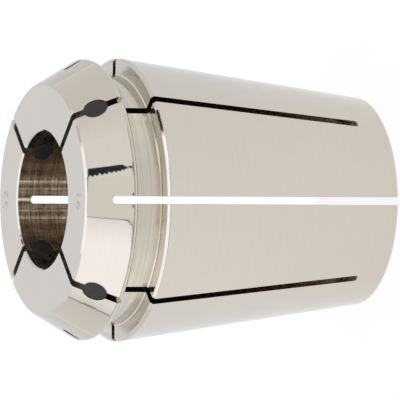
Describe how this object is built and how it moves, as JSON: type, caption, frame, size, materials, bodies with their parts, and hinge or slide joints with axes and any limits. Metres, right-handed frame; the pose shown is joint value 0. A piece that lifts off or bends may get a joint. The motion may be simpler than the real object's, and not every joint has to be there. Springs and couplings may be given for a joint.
{
  "type": "er collet",
  "caption": "Slotted spring collet with a slim taper, nose cone, extraction groove, straight clamping bore and rubber seal plugs in its front slots.",
  "frame": {"origin": "centre of the small rear end, on the bore axis; the collet stands on that end", "axes": "+Z along the bore axis towards the front face, where the tool goes in; -Y through the middle of one rear-cut slot"},
  "size_m": [0.033, 0.033, 0.04],
  "materials": {
    "body": "ground and polished spring steel, turned groove and honed bore",
    "seal": "matt moulded rubber"
  },
  "bodies": {
    "root": {"collet_body": "body", "seal_plug_1": "seal", "seal_plug_2": "seal", "seal_plug_3": "seal", "seal_plug_4": "seal"}
  },
  "joints": []
}
